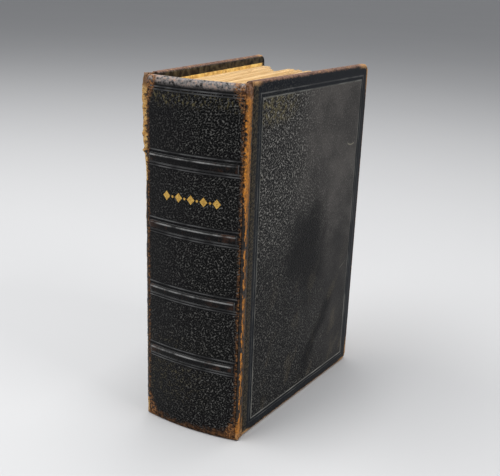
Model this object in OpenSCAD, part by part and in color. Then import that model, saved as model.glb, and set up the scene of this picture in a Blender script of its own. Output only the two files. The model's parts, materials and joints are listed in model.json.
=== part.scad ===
// Small thick prayer book bound in full black leather, standing on its tail edge.
// X runs from the back cover to the front cover, the spine faces -Y and Z is up.
// The back cover is closed. The front cover rests a little open on its leather joint,
// and the leaves at the front fan out after it.

/* [Book] */
// Height of the covers, leather included
book_h = 131.5; // [120:0.5:140]
// Thickness of the closed book over both covers
book_t = 39.2; // [38.4:0.2:40]
// Width of a cover, from the corner of the spine to the fore-edge
cover_w = 85; // [82:0.5:90]
// How far the front cover stands open, in degrees from closed
front_open = 7.4; // [0:0.2:9]

/* [Covers] */
// Thickness of the millboard
board_t = 2; // [1.8:0.1:2.2]
// Width of the leather joint between the spine and the board
joint_w = 3.9; // [3.6:0.1:4.2]
// Radius of the worn fore-edge corners
corner_r = 3.2; // [2:0.2:5]
// Width of the leather turned in over the inside of the board
turn_in = 12; // [9:0.5:15]
// Margin of turned-in leather left bare around the pastedown
turn_in_bare = 3.3; // [2.5:0.1:5]

/* [Spine] */
// Height of the spine's rounding
spine_round = 2; // [1.8:0.1:2.2]
// Height of the top edge of the highest raised band
band_top = 104.4; // [100:0.2:108]
// Distance between raised bands
band_pitch = 24.5; // [23:0.1:26]
// Number of raised bands
bands = 4; // [3:1:4]
// Height of a raised band over the leather
band_rise = 1; // [0.6:0.1:1.2]

/* [Text block] */
// Height of the leaves
leaf_h = 125; // [122:0.5:125]
// Bottom of the leaves above the tail edge of the covers
tail_square = 2; // [1.95:0.05:2.1]
// Number of folded gatherings sewn together
gatherings = 16; // [16:1:16]
// Thickness of a gathering at its sewn fold
fold_t = 1.8; // [1.6:0.05:1.82]
// Thickness of a gathering at the fore-edge
fore_t = 1.6; // [1.4:0.05:1.62]
// Number of linen sewing tapes
tapes = 3; // [2:1:4]

/* [Hidden] */
$fn = 48;

leather_t = 0.6;      // leather on the covers
turn_t = 0.4;         // pared leather of the turn-ins
paste_t = 0.2;        // pastedown and flyleaf paper
cover_t = leather_t + board_t + turn_t + paste_t;
half_t = book_t / 2;

// The spine's parts are sectors round one vertical axis, each at its own radius.
spine_r = (pow(half_t, 2) + pow(spine_round, 2)) / (2 * spine_round);
spine_y = spine_r - spine_round;
spine_leather_t = 0.7;
inlay_t = 0.5;
tube_t = 0.65;
tube_wall = 0.2;
mull_t = 0.3;
tape_t = 0.25;
tape_w = 9;
thread_r = 0.11;
inlay_r = spine_r - spine_leather_t;
tube_r = inlay_r - inlay_t - 0.05;
mull_r = tube_r - tube_t - 0.05;
thread_at = mull_r - mull_t - 0.17;
tape_r = thread_at - 0.13;
fold_r = tape_r - tape_t - 0.1;
spine_half = half_t - 0.4;
band_half = half_t - 2;
lining_half = half_t - 3.6;
spine_z0 = 3.1;       // the linings end inside the two rolled caps
spine_z1 = book_h - 3.6;

cap_r = 1.3;
cap_cord_r = 0.75;
cap_at = spine_r - cap_r - 0.05;
head_cap_z = book_h - 2;
tail_cap_z = cap_r - 0.2;
endband_r = 0.75;
endband_at = fold_r - 0.95;

bulge_r = 1.6;        // a band is a round cord's back standing out of the spine
bulge_at = band_rise - bulge_r;
band_cord_r = 1;
band_half_w = sqrt(pow(bulge_r, 2) - pow(bulge_at, 2));
band_zs = [for (i = [0:bands - 1]) band_top - band_half_w - i * band_pitch];

// Each cover, flyleaf and group of gatherings swings on its own upright axis.
hinge = [half_t - 0.4, 2];
inner_x = half_t - cover_t;
fly_gap = 0.2;
fly_hinge = [inner_x - fly_gap - paste_t / 2, 2];
block_half = inner_x - 2 * fly_gap - paste_t;
fly_ratio = 0.56;
fly_tail = 2.5;       // clears the rolled cap at the tail
group_ratio = [0.5, 0.22, 0.09];
in_group = 2;         // gatherings in each swinging group

pitch = 2 * block_half / gatherings;
fore_pitch = fore_t + 0.12;
fore_slack = 0.8;     // play left beside the front leaves at the fore-edge
split = 6;            // gatherings that lie on the back board, behind the gap
// Where the head and the fore-edge of each gathering lie, from the back to the front:
// the worn book's leaves have slipped out of line.
head_step = [0.2, 0.1, 0.1, -0.2, -0.5, -0.9, 0.1, 0.2, 0, 0.3, -0.1, 0.2, 0, -0.3, 0.1, -0.2];
fore_step = [0, -0.4, -1.2, -4.2, -5.6, -7.6, -3.4, -3.6, -3.2, -3.4, -2.8, -2.2, -2, -1.2, -0.8, -0.2];
fore_edge = cover_w - 5.2;

// Skin sections through a cover: depth below the outer face and inset of the edge
skin = [[0, 1.1], [0.35, 0.3], [1, 0], [2.1, 0], [leather_t + board_t + turn_t, 0.7]];
function swung(p, c, a) = [
    c[0] + (p[0] - c[0]) * cos(a) + (p[1] - c[1]) * sin(a),
    c[1] - (p[0] - c[0]) * sin(a) + (p[1] - c[1]) * cos(a)];
front_x = max([for (s = skin) swung([half_t - s[0], cover_w - s[1]], hinge, front_open)[0]]);
centre = [(front_x - half_t) / 2, (cover_w - spine_round - band_rise) / 2];

function two(i) = str(i < 10 ? "0" : "", i);
function gathering_name(i) = str("gathering_", two(i + 1));
SIDES = ["front", "back"];
SPINE_NODES = ["spine_leather", "headcap_cord", "tailcap_cord", "spine_inlay", "hollow_tube",
    "mull_lining", "headband", "tailband", "sewing_thread", "spine_ornament"];
COVER_NODES = ["cover_leather", "board", "pastedown", "joint_leather", "flyleaf"];

black = "#26262a";
paper = "#dcc08a";

// Puts the middle of the whole book's footprint on the Z axis.
module place() {
    translate([-centre[0], -centre[1], 0]) children();
}

// Sweeps a section of radius and height round the spine, out to a half width.
module spine_sweep(half_w) {
    a = asin(half_w / spine_r);
    translate([0, spine_y, 0]) rotate([0, 0, -90 - a])
        rotate_extrude(angle = 2 * a, $fn = 360) children();
}

module spine_layer(r, t, half_w, z0 = spine_z0, z1 = spine_z1) {
    spine_sweep(half_w) translate([r - t, z0]) square([t, z1 - z0]);
}

module spine_cord(at, z, r, half_w) {
    spine_sweep(half_w) translate([at, z]) circle(r = r);
}

// Section of a round cord of radius r across the spine, cut flat at radius flat_r.
module band_section(z, r, flat_r) {
    intersection() {
        translate([spine_r + bulge_at, z]) circle(r = r);
        translate([flat_r, z - r]) square(2 * r);
    }
}

// One section for the whole spine: the wall, the raised bands and the two rolled caps.
module spine_leather() {
    color(black) spine_sweep(spine_half) difference() {
        union() {
            translate([inlay_r, tail_cap_z]) square([spine_leather_t, head_cap_z - tail_cap_z]);
            translate([cap_at, head_cap_z]) circle(r = cap_r);
            intersection() {
                translate([cap_at, tail_cap_z]) circle(r = cap_r);
                translate([cap_at - cap_r, 0]) square(3 * cap_r);
            }
            for (z = band_zs) band_section(z, bulge_r, spine_r - spine_leather_t / 2);
        }
        for (z = band_zs) band_section(z, band_cord_r, inlay_r - 0.1);
        for (z = [head_cap_z, tail_cap_z]) translate([cap_at, z]) circle(r = cap_cord_r);
    }
}

module cap_cord(z) {
    color("tan") spine_cord(cap_at, z, cap_cord_r, spine_half);
}

module band_cord(i) {
    color("tan") spine_sweep(band_half) band_section(band_zs[i], band_cord_r, inlay_r);
}

module spine_inlay() {
    color("#a89878") spine_layer(inlay_r, inlay_t, lining_half);
}

// A flattened paper tube lets the spine leather lift off the text block as the book opens.
module hollow_tube() {
    color("#b8a070") difference() {
        spine_layer(tube_r, tube_t, lining_half);
        spine_layer(tube_r - tube_wall, tube_t - 2 * tube_wall, lining_half - 0.5,
            spine_z0 - 1, spine_z1 + 1);
    }
}

module mull_lining() {
    color("#d8d0b8") spine_layer(mull_r, mull_t, lining_half, spine_z0 + 6, spine_z1 - 6);
}

function tape_z(i) = tail_square + leaf_h * (i + 1) / (tapes + 1) - tape_w / 2;

module sewing_tape(i) {
    color("#e4dcc4") spine_layer(tape_r, tape_t, lining_half, tape_z(i), tape_z(i) + tape_w);
}

// Kettle stitches near the head and the tail, and one stitch over each tape at every fold.
module sewing_thread() {
    kettle_in = 9;
    color("#efe6d0") {
        for (z = [tail_square + kettle_in, tail_square + leaf_h - kettle_in])
            spine_cord(tape_r - tape_t / 2, z, thread_r, lining_half);
        for (i = [0:gatherings - 1], k = [0:tapes - 1]) {
            x = fold_x(i);
            translate([x, spine_y - sqrt(pow(thread_at, 2) - x * x), tape_z(k) - 0.5])
                cylinder(r = thread_r, h = tape_w + 1, $fn = 16);
        }
    }
}

module endband(z) {
    color("#c8b894") spine_cord(endband_at, z, endband_r, lining_half - 0.6);
}

// A plain row of gilt lozenges and dots in the second compartment of the spine.
module spine_ornament() {
    leaf_t = 0.08;
    step = 5;
    z = band_zs[0] - 12.8;
    color("gold") intersection() {
        spine_layer(spine_r + leaf_t, leaf_t, band_half - 1, z - 3, z + 3);
        translate([0, 1, z]) rotate([90, 0, 0]) linear_extrude(5) for (k = [-2:2]) {
            translate([k * step, 0]) polygon([[-1.5, 0], [0, -1.7], [1.5, 0], [0, 1.7]]);
            if (k < 2) translate([(k + 0.5) * step, 0]) circle(r = 0.45);
        }
    }
}

// Outline of a cover seen from its outer face, with rounded fore-edge corners.
module cover_outline(inset, r) {
    y1 = cover_w - inset;
    z1 = book_h - inset;
    translate([joint_w, inset]) square([y1 - r - joint_w, z1 - inset]);
    translate([y1 - r, inset + r]) square([r, z1 - inset - 2 * r]);
    for (z = [inset + r, z1 - r]) translate([y1 - r, z]) circle(r = r, $fn = 32);
}

// A sheet of the front cover, closed, between two depths below the outer face.
module cover_sheet(depth0, depth1, inset, r = corner_r) {
    translate([half_t - depth1, 0, 0]) rotate([90, 0, 90])
        linear_extrude(depth1 - depth0) cover_outline(inset, r);
}

// A closed front part swung open about an upright axis, or its mirror image at the back.
module swing(side, at, angle) {
    module opened() {
        translate([at[0], at[1], 0]) rotate([0, 0, -angle])
            translate([-at[0], -at[1], 0]) children();
    }
    if (side == "front") opened() children();
    else mirror([1, 0, 0]) opened() children();
}

function rest(side) = side == "front" ? front_open : 0;

module board_shape() {
    cover_sheet(leather_t, leather_t + board_t, leather_t, corner_r - leather_t);
}

// A cut-out that also runs out of the cover at the spine.
module run_out() {
    translate([0, -1, 0]) children();
    children();
}

module board(side) {
    color("#8c7a5c") swing(side, hinge, rest(side)) board_shape();
}

module cover_leather(side) {
    deep = leather_t + board_t;
    color(black) swing(side, hinge, rest(side)) difference() {
        hull() for (s = skin) cover_sheet(s[0], s[0] + 0.01, s[1], corner_r - s[1] / 2);
        run_out() board_shape();
        run_out() cover_sheet(deep - 0.1, deep + 2 * turn_t, turn_in, 0.5);
    }
}

module pastedown(side) {
    deep = leather_t + board_t;
    color(paper) swing(side, hinge, rest(side)) {
        cover_sheet(deep, deep + turn_t + 0.1, turn_in, 0.5);
        cover_sheet(deep + turn_t + 0.01, cover_t, turn_in_bare, 1);
    }
}

// The strip of leather that bends when the cover swings.
module joint_leather(side) {
    end_y = joint_w - 0.05;
    color("#b5722a") swing(side, hinge, 0) translate([0, 0, tail_cap_z]) linear_extrude(head_cap_z)
        polygon([[half_t - 0.35, -0.05], [half_t, 0.3],
            swung([half_t, end_y], hinge, rest(side)),
            swung([half_t - leather_t, end_y], hinge, rest(side)),
            [half_t - leather_t, 0.7], [half_t - 0.35, 0.66]]);
}

module flyleaf(side) {
    color(paper) swing(side, fly_hinge, rest(side) * fly_ratio)
        translate([fly_hinge[0] - paste_t / 2, fly_hinge[1], fly_tail])
        cube([paste_t, fore_edge - 0.5 - fly_hinge[1], tail_square + leaf_h - fly_tail]);
}

function fold_x(i) = (i + 0.5) * pitch - block_half;
function fold_y(i) = spine_y - sqrt(pow(fold_r, 2) - pow(fold_x(i), 2)) + fold_t / 2;
function fore_x(i) = i < split ? (i + 0.5) * fore_pitch - block_half
    : block_half - fore_slack - (gatherings - i - 0.5) * fore_pitch;
// Counted inwards from a cover: 0 is the group next to it. Past the last group leaves stay put.
function group(i) = floor(min(i, gatherings - 1 - i) / in_group);
function in_front(i) = i >= gatherings / 2;
function outer(i) = in_front(i) ? gatherings - 1 - group(i) * in_group : group(i) * in_group;
function lean(i) = in_front(i) && group(i) < len(group_ratio) ? front_open * group_ratio[group(i)] : 0;
function group_hinge(i) = [abs(fold_x(outer(i))) + fold_t / 2, fold_y(outer(i)) - fold_t / 2];

// One folded gathering: a round sewn fold and leaves that thin out towards the fore-edge.
module gathering(i) {
    end_y = fore_edge + fore_step[i];
    along = [fore_x(i) - fold_x(i), end_y - fold_y(i)];
    side = [along[1], -along[0]] / norm(along);
    fold = [fold_x(i), fold_y(i)];
    fore = [fore_x(i), end_y];
    color(paper) swing("front", group_hinge(i), lean(i))
        translate([0, 0, tail_square]) linear_extrude(leaf_h + head_step[i]) {
            translate(fold) circle(r = fold_t / 2);
            polygon([fold + side * fold_t / 2, fore + side * fore_t / 2,
                fore - side * fore_t / 2, fold - side * fold_t / 2]);
        }
}

place() spine_leather();
place() cap_cord(head_cap_z);  // headcap_cord
place() cap_cord(tail_cap_z);  // tailcap_cord
place() spine_inlay();
place() hollow_tube();
place() mull_lining();
place() endband(tail_square + leaf_h + 0.35 + endband_r);  // headband
place() endband(tail_square - 0.1 - endband_r);  // tailband
place() sewing_thread();
place() spine_ornament();
for (i = [0:bands - 1])
    place() band_cord(i);
for (i = [0:tapes - 1])
    place() sewing_tape(i);
for (s = SIDES) {
    place() cover_leather(s);
    place() board(s);
    place() pastedown(s);
    place() joint_leather(s);
    place() flyleaf(s);
}
for (i = [0:gatherings - 1])
    place() gathering(i);
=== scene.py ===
"""The looks of a small prayer book bound in black leather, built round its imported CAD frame."""

import json
import math
import random

import bpy
import numpy as np
from mathutils import Matrix, Vector, noise


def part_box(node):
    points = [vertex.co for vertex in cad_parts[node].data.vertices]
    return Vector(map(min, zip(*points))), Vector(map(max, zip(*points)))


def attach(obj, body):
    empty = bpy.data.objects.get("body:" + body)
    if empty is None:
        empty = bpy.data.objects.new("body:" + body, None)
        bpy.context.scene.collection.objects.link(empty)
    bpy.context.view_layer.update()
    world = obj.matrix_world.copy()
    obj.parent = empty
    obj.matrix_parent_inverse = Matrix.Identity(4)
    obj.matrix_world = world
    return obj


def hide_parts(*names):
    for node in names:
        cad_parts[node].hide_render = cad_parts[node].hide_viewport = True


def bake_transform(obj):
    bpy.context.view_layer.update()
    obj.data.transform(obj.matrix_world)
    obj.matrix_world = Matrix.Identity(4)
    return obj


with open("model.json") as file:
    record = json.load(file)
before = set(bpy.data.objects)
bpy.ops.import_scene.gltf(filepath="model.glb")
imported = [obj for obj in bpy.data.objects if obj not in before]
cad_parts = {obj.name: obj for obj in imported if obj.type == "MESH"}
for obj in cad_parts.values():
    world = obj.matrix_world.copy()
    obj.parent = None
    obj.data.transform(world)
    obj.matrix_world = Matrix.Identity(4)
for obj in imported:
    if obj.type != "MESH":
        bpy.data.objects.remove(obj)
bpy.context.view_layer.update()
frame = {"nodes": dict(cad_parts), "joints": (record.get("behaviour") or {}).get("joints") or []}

# --- sizes, in millimetres
# Pieces are laid out with X across the spine, Y from the spine to the fore-edge and Z up.
MM = 0.001
spine_lo, spine_hi = (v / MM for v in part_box("spine_leather"))
back_lo, back_hi = (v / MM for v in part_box("back_cover_leather"))
BAND_RISE, SPINE_ROUND = 1.0, 2.0
ORIGIN = np.array([(spine_lo.x + spine_hi.x) / 2, spine_lo.y + BAND_RISE + SPINE_ROUND, 0.0])
HALF_T = ORIGIN[0] - back_lo.x
COVER_W = back_hi.y - ORIGIN[1]
BOOK_H = back_hi.z
FRONT_OPEN = -frame["joints"][0]["range_deg"][0]

SPINE_R = (HALF_T**2 + SPINE_ROUND**2) / (2 * SPINE_ROUND)
SPINE_AXIS = SPINE_R - SPINE_ROUND
SPINE_HALF = HALF_T - 0.4
HINGE = (HALF_T - 0.4, 2.0)
JOINT_W, JOINT_LENGTH = 3.9, 5.4  # as seen from outside, and along its surface
CORNER_R, COVER_T = 3.2, 3.2
MIDDLE_Z = 66.0  # about half way up
TURN_IN, TURN_IN_BARE = 12.0, 3.3
CAP_R, CAP_AT = 1.3, SPINE_R - 1.35
HEAD_CAP_Z, TAIL_CAP_Z = BOOK_H - 2, 1.1
SPINE_WALL, CAP_CORE_R = 0.68, 0.78
BAND_TOP, BAND_PITCH, BANDS, BAND_H = 104.4, 24.5, 4, 2.97
BAND_ENDS, CORD_HALF = 18.5, 16.2
PLIES, PLY_TWIST = 3, 1.3  # twist in radians per millimetre
BAND_LINES = (1.15, -BAND_H - 0.5, -BAND_H - 1.4)  # fillets beside a band, up from its top
HEAD_LINES = (127.15, 126.2)  # fillets under the head cap
INNER_X = HALF_T - COVER_T
FLY_HINGE = (INNER_X - 0.3, 2.0)
FLY_RATIO, LEAF_RATIOS = 0.56, (0.5, 0.22, 0.09)
GATHERINGS, SLABS, SPLIT = 16, 6, 6  # the first six lie behind the gap at the fore-edge
LEAF_Z, LEAF_H, FORE_EDGE = 2.0, 125.0, COVER_W - 5.2
BLOCK_HALF = INNER_X - 0.6
PITCH = 2 * BLOCK_HALF / GATHERINGS
FOLD_T, FORE_T, FORE_SLACK = 1.8, 1.6, 0.8
FOLD_R = SPINE_R - 2.9
HEAD_STEP = (.2, .1, .1, -.2, -.5, -.9, .1, .2, 0, .3, -.1, .2, 0, -.3, .1, -.2)
FORE_STEP = (0, -.4, -1.2, -4.2, -5.6, -7.6, -3.4, -3.6, -3.2, -3.4, -2.8, -2.2, -2, -1.2, -.8, -.2)

# On a cover u runs from the hinge to the fore-edge and v upwards.
# Blind-tooled frame: two rectangles of (u0, u1, v0, v1)
FRAME_IN = (9.65, 79.4, 5.15, BOOK_H - 6.1)
FRAME_OUT = (8.4, 80.85, 3.75, BOOK_H - 4.5)
LINE_HALF_IN, LINE_HALF_OUT = 0.42, 0.36
HINGE_STRIP = (6.4, 7.0)
# Marks on a cover: the middle of each in u and v, and its size
PATCH_AT, PATCH_HALF = (44.0, 63.0), (17.0, 22.0)
STREAK_AT, STREAK_LEAN = (56.0, 25.0), 0.64
SCRATCH_AT, SCRATCH_SPAN, SCRATCH_BOW = (74.6, 100.2), (71.4, 76.8), 0.09
DUSTY_AT, DUSTY_HALF = (17.0, 121.5), (15.0, 6.5)

CAMERA_AT = (0.12855, -0.26104, 0.16395)  # metres
CAMERA_TURN, CAMERA_DOWN, CAMERA_ROLL = 26.8994, 18.7772, 2.0894  # degrees
CAMERA_LENS, SENSOR = 55.983, 36

rng = random.Random(7)


# --- mesh helpers
def to_row(points):
    """Points in millimetres, as laid out above, in the row frame in metres."""
    return (np.asarray(points, float).reshape(-1, 3) + ORIGIN) * MM


def turned(x, y, centre, degrees):
    """x and y swung open, away from the middle of the book, about an upright axis."""
    a = np.radians(degrees)
    dx, dy = x - centre[0], y - centre[1]
    return centre[0] + dx * np.cos(a) + dy * np.sin(a), centre[1] - dx * np.sin(a) + dy * np.cos(a)


def on_side(side, x, y, centre, degrees):
    """x and y as they lie at the shut front: swung open there, or mirrored to the back."""
    return turned(x, y, centre, degrees) if side == "front" else (-x, y)


def smooth(x, lo, hi):
    """0 below lo, 1 above hi and a smooth rise between."""
    t = np.clip((np.asarray(x, float) - lo) / (hi - lo), 0, 1)
    return t * t * (3 - 2 * t)


def bump(x, half):
    """1 at 0, falling smoothly to 0 at half either side."""
    return 1 - smooth(np.abs(x), 0, half)


def rough(x, y, scale, seed):
    """Repeatable smooth noise from -1 to 1 over x and y, with features about scale wide."""
    x, y = np.broadcast_arrays(np.asarray(x, float), np.asarray(y, float))
    flat = [noise.noise(Vector((a / scale, b / scale, seed))) for a, b in zip(x.flat, y.flat)]
    return np.array(flat).reshape(x.shape)


def lines(lo, hi, step, fine=()):
    """Coordinates from lo to hi about step apart, with closer ones round each fine place."""
    values = list(np.linspace(lo, hi, max(2, round((hi - lo) / step) + 1)))
    near = (-.5, -.32, -.2, -.1, 0, .1, .2, .32, .5)
    values = [v for v in values if all(abs(v - f) > .6 for f in fine)]
    values += [f + n for f in fine for n in near]
    return np.array(sorted({round(v, 4) for v in values + [lo, hi] if lo <= v <= hi}))


def quads(rows, cols, wrap=False):
    """Faces over a grid of points stored row after row; wrap joins the last row to the first."""
    last = rows if wrap else rows - 1
    return [(i * cols + j, i * cols + j + 1, (i + 1) % rows * cols + j + 1, (i + 1) % rows * cols + j)
            for i in range(last) for j in range(cols - 1)]


def tube_faces(rows, cols):
    """Faces of a tube whose rows run along it, with a flat face over each end."""
    first, last = (range(0, rows * cols, cols), range(cols - 1, rows * cols, cols))
    return quads(rows, cols, wrap=True) + [tuple(first), tuple(reversed(last))]


def placed(name, data):
    """A new object in the scene."""
    obj = bpy.data.objects.new(name, data)
    bpy.context.scene.collection.objects.link(obj)
    return obj


def make(name, points, faces, at, material, flip=False, thick=0.0):
    """A smooth mesh object. at holds each point's place on the piece, which its material reads."""
    mesh = bpy.data.meshes.new(name)
    mesh.from_pydata(to_row(points).tolist(), [], [f[::-1] if flip else f for f in faces])
    place = mesh.attributes.new("at", "FLOAT_VECTOR", "POINT")
    place.data.foreach_set("vector", np.asarray(at, np.float32).ravel())
    mesh.polygons.foreach_set("use_smooth", [True] * len(mesh.polygons))
    mesh.materials.append(material)
    obj = placed(name, mesh)
    if thick:
        solid = obj.modifiers.new("thickness", "SOLIDIFY")
        solid.thickness, solid.offset = thick * MM, -1
    return obj


def stands_for(obj, body, slot, *nodes):
    """Puts a piece on its body and hides the CAD nodes it stands in for; its slot is not used."""
    if body:
        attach(obj, body)
    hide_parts(*nodes)


# --- material helpers
class Graph:
    """Writes a procedural material around one Principled shader."""

    def __init__(self, name):
        self.material = bpy.data.materials.new(name)
        self.material.use_nodes = True
        self.tree = self.material.node_tree
        self.tree.nodes.clear()
        self.shader = self.node("ShaderNodeBsdfPrincipled")
        out = self.node("ShaderNodeOutputMaterial")
        self.tree.links.new(self.shader.outputs[0], out.inputs[0])

    def node(self, kind, **inputs):
        made = self.tree.nodes.new(kind)
        for key, value in inputs.items():
            self.put(made.inputs[key.replace("_", " ")], value)
        return made

    def put(self, socket, value):
        if isinstance(value, bpy.types.NodeSocket):
            self.tree.links.new(value, socket)
        elif isinstance(value, tuple) and len(value) == 3 and socket.type == "RGBA":
            socket.default_value = (*value, 1)
        else:
            socket.default_value = value

    def fill(self, made, values):
        """Puts values on a node's first sockets."""
        for socket, value in zip(made.inputs, values):
            self.put(socket, value)

    def set(self, **inputs):
        for key, value in inputs.items():
            self.put(self.shader.inputs[key.replace("_", " ")], value)

    def math(self, kind, *values):
        """A math node, or for more than two values a chain of them."""
        made = self.tree.nodes.new("ShaderNodeMath")
        made.operation = kind
        self.fill(made, values[:2])
        return self.math(kind, made.outputs[0], *values[2:]) if values[2:] else made.outputs[0]

    def add(self, *values):
        return self.math("ADD", *values)

    def mul(self, *values):
        return self.math("MULTIPLY", *values)

    def most(self, *values):
        return self.math("MAXIMUM", *values)

    def inv(self, a):
        return self.math("SUBTRACT", 1.0, a)

    def step(self, value, lo, hi):
        """0 below lo and 1 above hi; with lo above hi it falls instead of rising."""
        made = self.tree.nodes.new("ShaderNodeMapRange")
        made.interpolation_type = "SMOOTHSTEP"
        ends = (lo, hi, 0.0, 1.0) if hi > lo else (hi, lo, 1.0, 0.0)
        self.fill(made, (value, *ends))
        return made.outputs[0]

    def span(self, value, lo, hi, soft):
        """1 between lo and hi, with soft ends."""
        rise = self.step(value, lo - soft, lo + soft)
        return self.mul(rise, self.step(value, hi + soft, hi - soft))

    def within(self, value, half, inner=0.0):
        """1 while value is within inner of 0, falling to 0 at half either side."""
        return self.step(self.math("ABSOLUTE", value), half, inner)

    def mix(self, fac, a, b):
        made = self.tree.nodes.new("ShaderNodeMix")
        made.data_type = "RGBA"
        for socket, v in zip((made.inputs[0], made.inputs[6], made.inputs[7]), (fac, a, b)):
            self.put(socket, v)
        return made.outputs[2]

    def at(self):
        """The place on the piece in millimetres, and its three parts."""
        made = self.tree.nodes.new("ShaderNodeAttribute")
        made.attribute_name = "at"
        return (made.outputs["Vector"], *self.parts(made.outputs["Vector"]))

    def row_mm(self):
        """The place in the row frame in millimetres, for CAD nodes."""
        place = self.tree.nodes.new("ShaderNodeTexCoord").outputs["Object"]
        return self.scaled(place, (1000, 1000, 1000))

    def parts(self, vector):
        return tuple(self.node("ShaderNodeSeparateXYZ", Vector=vector).outputs)

    def scaled(self, vector, by):
        return self.node("ShaderNodeMapping", Vector=vector, Scale=by).outputs[0]

    def drawn_out(self, vector, along, lean):
        """A vector for a texture drawn out upwards, leaning to the right by lean radians."""
        made = self.node("ShaderNodeMapping", Vector=vector, Rotation=(0, 0, -lean),
                         Scale=(1, along, 1))
        made.vector_type = "TEXTURE"
        return made.outputs[0]

    def warped(self, vector, scale, by):
        """A vector pushed about in swirls."""
        swirl = self.node("ShaderNodeTexNoise", Vector=vector, Scale=scale, Detail=1.0)
        made = self.tree.nodes.new("ShaderNodeVectorMath")
        made.operation = "MULTIPLY_ADD"
        self.fill(made, (swirl.outputs["Color"], (by, by, 0.0), vector))
        return made.outputs[0]

    def noise(self, vector, scale, detail=2.0, rough=0.5):
        return self.node("ShaderNodeTexNoise", Vector=vector, Scale=scale, Detail=detail,
                         Roughness=rough).outputs[0]

    def ragged(self, value, by, vector, scale, detail=2.0, rough=0.5):
        """A value pushed up and down by noise, over a range of by in all."""
        return self.add(value, self.mul(self.add(self.noise(vector, scale, detail, rough), -0.5), by))

    def cells(self, vector, scale):
        """Distance from the middle of the nearest of many small cells, over the first two parts."""
        made = self.node("ShaderNodeTexVoronoi", Vector=vector, Scale=scale)
        made.voronoi_dimensions = "2D"
        return made.outputs["Distance"]

    def near(self, a, b, middle, half):
        """Distance from a point over two parts, 1 at half from it."""
        p, q = (self.mul(self.add(value, -m), 1 / h) for value, m, h in zip((a, b), middle, half))
        return self.math("SQRT", self.add(self.mul(p, p), self.mul(q, q)))

    def spots(self, vector, scale, lo, hi, detail=3.0):
        return self.step(self.noise(vector, scale, detail, 0.6), lo, hi)

    def relief(self, height, depth_mm):
        made = self.node("ShaderNodeBump", Height=height, Distance=depth_mm * MM)
        self.set(Normal=made.outputs[0])

    def frame_line(self, u, v, rect, half):
        """1 on the outline of a rectangle, 0 at half either side, and the distance outside it."""
        off = []
        for value, lo, hi in ((u, *rect[:2]), (v, *rect[2:])):
            from_middle = self.math("ABSOLUTE", self.add(value, -(lo + hi) / 2))
            off.append(self.math("SUBTRACT", from_middle, (hi - lo) / 2))
        off = self.most(*off)
        return self.within(off, half), off


BLACK = (0.0045, 0.0045, 0.005)
BLUE_BLACK = (0.006, 0.008, 0.0115)
DUST = (0.13, 0.11, 0.055)
BROWN = (0.075, 0.032, 0.015)
TAN = (0.34, 0.155, 0.055)
PALE_TAN = (0.52, 0.33, 0.16)
ORANGE = (0.70, 0.26, 0.028)
PINK_BROWN = (0.21, 0.125, 0.095)


def morocco(g, at, size):
    """Height of a morocco grain, from 0 in its small pits to 1 on the net of ridges round them."""
    pits = g.cells(g.drawn_out(g.warped(at, 0.12, 2.4), 1.35, 0.8), 1 / size)
    return g.step(g.ragged(pits, 0.12, at, 3.0), 0.33, 0.70)


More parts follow.
